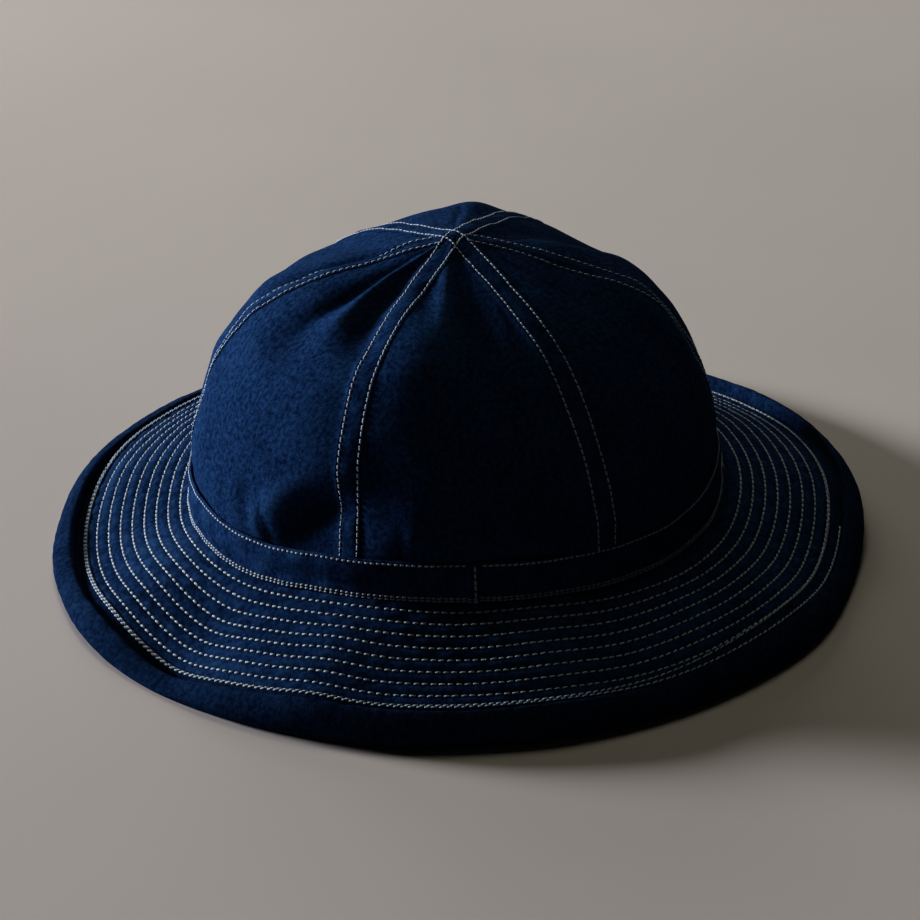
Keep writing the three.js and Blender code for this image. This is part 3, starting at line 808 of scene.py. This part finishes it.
# joins lists of stitches into one mesh: rings of a tube closed at both ends by two quads
def stitchPiece(name, sewn):
    points = np.concatenate([places for places, soil in sewn])
    soil = np.concatenate([soil for places, soil in sewn])
    rings, sides = len(thread["stations"]), thread["sides"]
    r, k = (grid.ravel() for grid in np.meshgrid(np.arange(rings - 1), np.arange(sides), indexing="ij"))
    n = (k + 1) % sides
    body = np.stack([r * sides + k, (r + 1) * sides + k, (r + 1) * sides + n, r * sides + n], -1)
    e = (rings - 1) * sides
    caps = np.array([[0, 1, 2, 3], [0, 3, 4, 5], [e + 3, e + 2, e + 1, e], [e + 5, e + 4, e + 3, e]])
    one = np.concatenate([body, caps])
    firsts = rings * sides * np.arange(len(soil))
    quads = (one[None] + firsts[:, None, None]).reshape(-1, 4)
    along, across = one // sides * 0.7, one % sides * 0.35
    uv = np.broadcast_to(np.stack([along, across], -1)[None], (len(soil), *one.shape, 2))
    piece = makeMesh(name, points, quads, uv, np.repeat(soil, rings * sides), topStitch)
    print(name, "has", len(soil), "stitches and", len(quads) * 2, "triangles")


# path of a row beside a seam, from the band up to a distance from the top's middle, and its normals
def seamRow(seam, side, stop):
    lower = np.linspace(felledSeam["rowFrom"], felledSeam["rowClose"], felledSeam["rowPoints"])
    upper = np.linspace(felledSeam["rowClose"], felledSeam["rowTo"], felledSeam["rowPoints"])[1:]
    up = np.concatenate([lower, upper])  # closer near the top
    up = up[crownRadius(up) > np.maximum(stop, 1.0005 * seamRowOut(up))]
    out = side * seamRowOut(up)
    radius = crownRadius(up)
    angle = seamAngle(seam, up) + np.degrees(np.arcsin(out / radius))
    flat = np.interp(up, crown["flatAt"], crown["flat"]) * np.sin(3 * np.minimum(np.abs(out) / radius, 0.5))
    lift = crownRelief(angle, up, out)[0] + felledSeam["lift"]
    normal = crownNormal(angle, up)
    return crownOval(angle, up, flat) + normal * lift[:, None], normal


# rows of the crown: those of two opposite seams run on over the top as one, those of the side seams stop
# where they meet them
def sewCrown():
    sewn = []
    for near, far, seed in (("frontRight", "backLeft", 401), ("frontLeft", "backRight", 403)):
        for side in (-1, 1):
            nearPath, nearNormal = seamRow(near, side, 0)
            farPath, farNormal = seamRow(far, -side, 0)
            path = np.concatenate([nearPath, farPath[::-1]])
            normal = np.concatenate([nearNormal, farNormal[::-1]])
            sewn.append(sewStitches(path, normal, "crown", seed + side))
    for seam, seed in (("left", 411), ("right", 413)):
        for side in (-1, 1):
            path, normal = seamRow(seam, side, felledSeam["sideStop"])
            sewn.append(sewStitches(path, normal, "crown", seed + side))
    stitchPiece("crown_stitching", sewn)


# one row along the band at a height, between two distances past its join, its normals tilted up by a share
def bandRow(height, first, last, tilt, row, seed):
    ends = [hatBand["joinAngle"] + past / bandDegree for past in (first, last)]
    angle = np.linspace(*ends, hatBand["rowPoints"])
    z, outward, wearDirtAndShade = bandFace(angle, np.full_like(angle, height))
    return sewStitches(ovalPoint(angle, outward, z), unit(ovalNormal(angle) + [0, 0, tilt]), row, seed)


# rows of the band: one under its top edge, two close ones at its foot, and one down its join
def sewBand():
    whole = 360 * bandDegree
    top = hatBand["height"] - hatBand["topRow"]
    sewn = [bandRow(top, 1.6, whole - hatBand["lapWidth"] - 0.4, 0.1, "bandTop", 501),
            bandRow(hatBand["lowRow"] + 0.35, 0.2, whole - 0.1, 0.5, "bandLow", 502),
            bandRow(hatBand["lowRow"] - 0.45, 0.2, whole - 0.1, 0.5, "bandLow", 503)]
    height = np.linspace(-0.2, hatBand["height"] - 0.7, 60)
    angle = np.full_like(height, hatBand["joinAngle"] + 360 - 0.8 / bandDegree)
    z, outward, wearDirtAndShade = bandFace(angle, height)
    sewn.append(sewStitches(ovalPoint(angle, outward, z), ovalNormal(angle), "bandJoin", 504))
    stitchPiece("band_stitching", sewn)


# one row round the brim at places counted in rows down its slope, on the binding where it reaches that
def brimRow(index, angle, row, seed):
    out = rowOut(index, angle)
    onLeg = easeStep(-0.25, 0.05, out - brimSlope(angle)[2] + binding["overlap"])
    raised = brimRelief(angle, out)[0] * (1 - onLeg) + legRise(angle, out) * onLeg
    path, normal, wearDirtAndShade = brimTop(angle, out, raised)
    return sewStitches(path, normal, row, seed)


# rows of the brim: one spiral that starts from the band's foot on the right, moves out by a row there each
# time round and ends on the binding, and the row that holds the binding
def sewBrim():
    sewn = []
    last = brim["lastIndex"]
    for turn in range(last + 1):
        first = brim["spiralStart"] if turn == 0 else brim["turn"][0]
        end = brim["spiralEnd"] if turn == last else brim["turn"][1]
        angle = np.linspace(first, end, brim["rowPoints"])
        index = turn + spiralShift(angle) - (angle < -180)  # behind the right side still the row within
        if turn == 0:
            fromFoot = 1 - easeStep(first, first + brim["spiralIn"], angle)  # comes out from the band
            index = index - 0.5 * fromFoot
        sewn.append(brimRow(index, angle, "edge" if turn == last else "brim", 600 + turn))
    angle = np.linspace(-180, 180, brim["rowPoints"])
    sewn.append(brimRow(np.full_like(angle, last - brim["secondRow"]), angle, "edge", 620))
    stitchPiece("brim_stitching", sewn)


sewCrown()
sewBand()
sewBrim()

# Floor, light and camera

floor = dict(size=6.0, colour=(0.55, 0.525, 0.53), cloud=0.93, cloudScale=3.0, roughness=0.9, gloss=0.1)


# flat square round the origin at Z = 0, its colour dimmed a little in soft clouds
def makeFloor():
    half = floor["size"] / 2
    mesh = bpy.data.meshes.new("floor")
    corners = [(-half, -half, 0), (half, -half, 0), (half, half, 0), (-half, half, 0)]
    mesh.from_pydata(corners, [], [(0, 1, 2, 3)])
    material = bpy.data.materials.new("pale floor")
    material.use_nodes = True
    tree = material.node_tree
    ground = tree.nodes["Principled BSDF"]
    ground.inputs["Roughness"].default_value = floor["roughness"]
    ground.inputs["Specular IOR Level"].default_value = floor["gloss"]
    place = addNode(tree, "ShaderNodeTexCoord").outputs["Object"]
    cloud = addNode(tree, "ShaderNodeTexNoise", values=dict(Scale=floor["cloudScale"], Detail=3))
    tree.links.new(place, cloud.inputs["Vector"])
    shade = tuple(floor["cloud"] * c for c in floor["colour"])
    tone = mixColour(tree, spread(tree, cloud.outputs[0], 0.3, 0.7), floor["colour"], shade)
    tree.links.new(tone, ground.inputs["Base Color"])
    mesh.materials.append(material)
    piece = bpy.data.objects.new("floor", mesh)
    scene.collection.objects.link(piece)


lights = dict(  # angle round the hat, angle over the floor, distance and size in metres, watts, colour
    window=(-114, 12, 5.0, 1.25, 361, (1.0, 0.985, 0.985)),
    behind=(-168, 21, 3.0, 1.8, 18, (1.0, 0.97, 0.90)),
    sky=(176, 72, 1.9, 1.0, 5.4, (1.0, 0.96, 0.76)))


# disk of light turned toward the hat
def makeLight(name, angle, over, distance, size, watts, colour):
    lamp = bpy.data.lights.new(name, "AREA")
    lamp.shape = "DISK"
    lamp.size = size
    lamp.energy = watts
    lamp.color = colour
    made = bpy.data.objects.new(name, lamp)
    turn, rise = np.radians(angle), np.radians(over)
    back = np.array([np.sin(turn) * np.cos(rise), -np.cos(turn) * np.cos(rise), np.sin(rise)])
    right = unit(np.cross([0, 0, 1], back))
    pose = np.eye(4)
    pose[:3, :3] = np.stack([right, np.cross(back, right), back], 1)
    pose[:3, 3] = back * distance + [0, 0, 0.05]
    made.matrix_world = Matrix(pose.tolist())
    scene.collection.objects.link(made)


camera = dict(azimuth=-3.15, elevation=28.28, roll=-2.15, distance=1.15, aim=0.0298, focalPixels=3193.7,
              axisPixel=453.9, imagePixels=920, sensor=36.0)


# looks at a point on the hat's axis, rolled a little, the axis a few pixels left of the middle
def makeCamera():
    lens = bpy.data.cameras.new("camera")
    lens.sensor_width = camera["sensor"]
    lens.lens = camera["focalPixels"] * camera["sensor"] / camera["imagePixels"]
    lens.shift_x = (camera["imagePixels"] / 2 - camera["axisPixel"]) / camera["imagePixels"]
    lens.clip_start, lens.clip_end = 0.01, 50
    turn, rise, roll = (np.radians(camera[key]) for key in ("azimuth", "elevation", "roll"))
    back = np.array([np.sin(turn) * np.cos(rise), -np.cos(turn) * np.cos(rise), np.sin(rise)])
    right = np.array([np.cos(turn), np.sin(turn), 0])
    up = np.cross(back, right)
    pose = np.eye(4)
    pose[:3, 0] = right * np.cos(roll) + up * np.sin(roll)
    pose[:3, 1] = up * np.cos(roll) - right * np.sin(roll)
    pose[:3, 2] = back
    pose[:3, 3] = back * camera["distance"] + [0, 0, camera["aim"]]
    made = bpy.data.objects.new("camera", lens)
    made.matrix_world = Matrix(pose.tolist())
    scene.collection.objects.link(made)
    scene.camera = made


makeFloor()
for lightName, values in lights.items():
    makeLight(lightName, *values)
room = dict(colour=(1.0, 0.96, 0.8, 1), strength=0.01)
world = bpy.data.worlds.new("room")
world.use_nodes = True
fill = world.node_tree.nodes["Background"]
fill.inputs["Color"].default_value = room["colour"]
fill.inputs["Strength"].default_value = room["strength"]
scene.world = world
scene.view_settings.view_transform = "Standard"  # keeps the dark blue deep
scene.view_settings.look = "High Contrast"
makeCamera()
print("floor, light and camera set")
